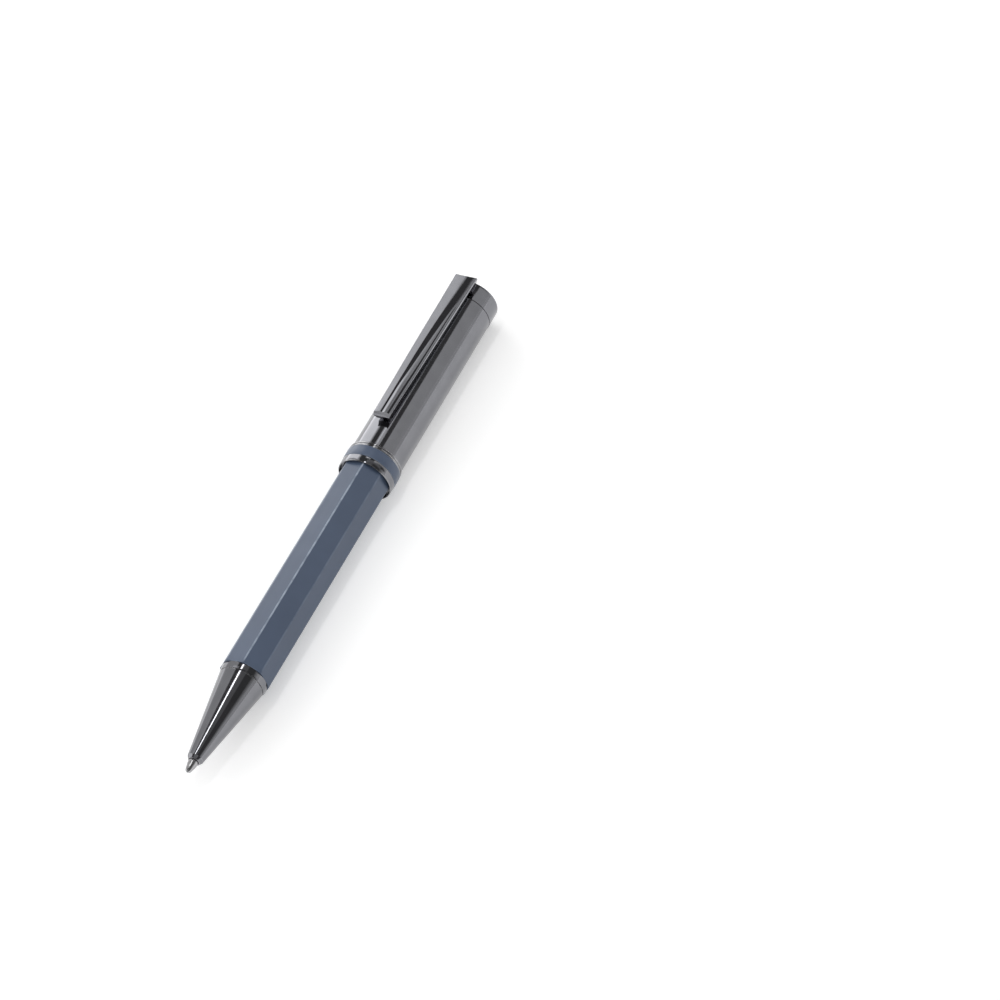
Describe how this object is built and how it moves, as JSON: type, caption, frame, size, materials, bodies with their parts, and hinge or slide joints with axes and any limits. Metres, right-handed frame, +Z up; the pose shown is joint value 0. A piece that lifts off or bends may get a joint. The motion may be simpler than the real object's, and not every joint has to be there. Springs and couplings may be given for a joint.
{
  "type": "twist ballpoint pen",
  "caption": "Twist-action metal ballpoint pen with an octagonal lacquered barrel, conical nose, centre ring, plain cap and long fluted pocket clip.",
  "frame": {"origin": "under the middle of the pen's length, on the surface it lies on", "axes": "+X along the pen from the writing ball to the finial, +Z up through the clip, +Y across"},
  "size_m": [0.1383, 0.0128, 0.0145],
  "materials": {
    "gunmetal": "polished dark gunmetal plating on brass",
    "blue_lacquer": "satin blue lacquer",
    "brass": "turned, unplated",
    "steel": "bright",
    "nickel_silver": "bright turned",
    "white_plastic": "moulded",
    "black_rubber": "matt"
  },
  "bodies": {
    "lower_body": {"nose_cone": "gunmetal", "front_bush": "brass", "lower_barrel": "blue_lacquer", "rear_bush": "brass", "mechanism_housing": "brass", "drag_ring": "black_rubber", "thrust_washer": "white_plastic", "retainer": "steel", "return_spring": "steel"},
    "upper_body": {"center_ring": "gunmetal", "lacquered_band": "blue_lacquer", "cap_tube": "gunmetal", "cam_sleeve": "brass", "cap_plug": "brass", "clip_ring": "steel", "finial": "gunmetal"},
    "refill": {"writing_ball": "steel", "refill_point": "nickel_silver", "refill_holder": "white_plastic", "refill_tube": "brass", "refill_tail": "white_plastic", "plunger": "white_plastic", "cross_pin": "steel"},
    "clip": {"clip": "gunmetal"}
  },
  "joints": [
    {"name": "twist", "type": "hinge", "parent": "lower_body", "child": "upper_body", "pos_m": [0.01335, 0, 0.00639], "axis": [1, 0, 0], "range_deg": [0, 150]},
    {"name": "refill_slide", "type": "slide", "parent": "lower_body", "child": "refill", "axis": [1, 0, 0], "range_m": [0, 0.0042], "deforming": ["return_spring"]},
    {"name": "clip_lift", "type": "hinge", "parent": "upper_body", "child": "clip", "pos_m": [0.0657, 0, 0.01105], "axis": [0, 1, 0], "range_deg": [0, 4], "stiffness_Nm_per_rad": 1.5}
  ],
  "couplings": [
    {"joint": "twist", "follows": "refill_slide", "rad_per_m": 623.33}
  ]
}
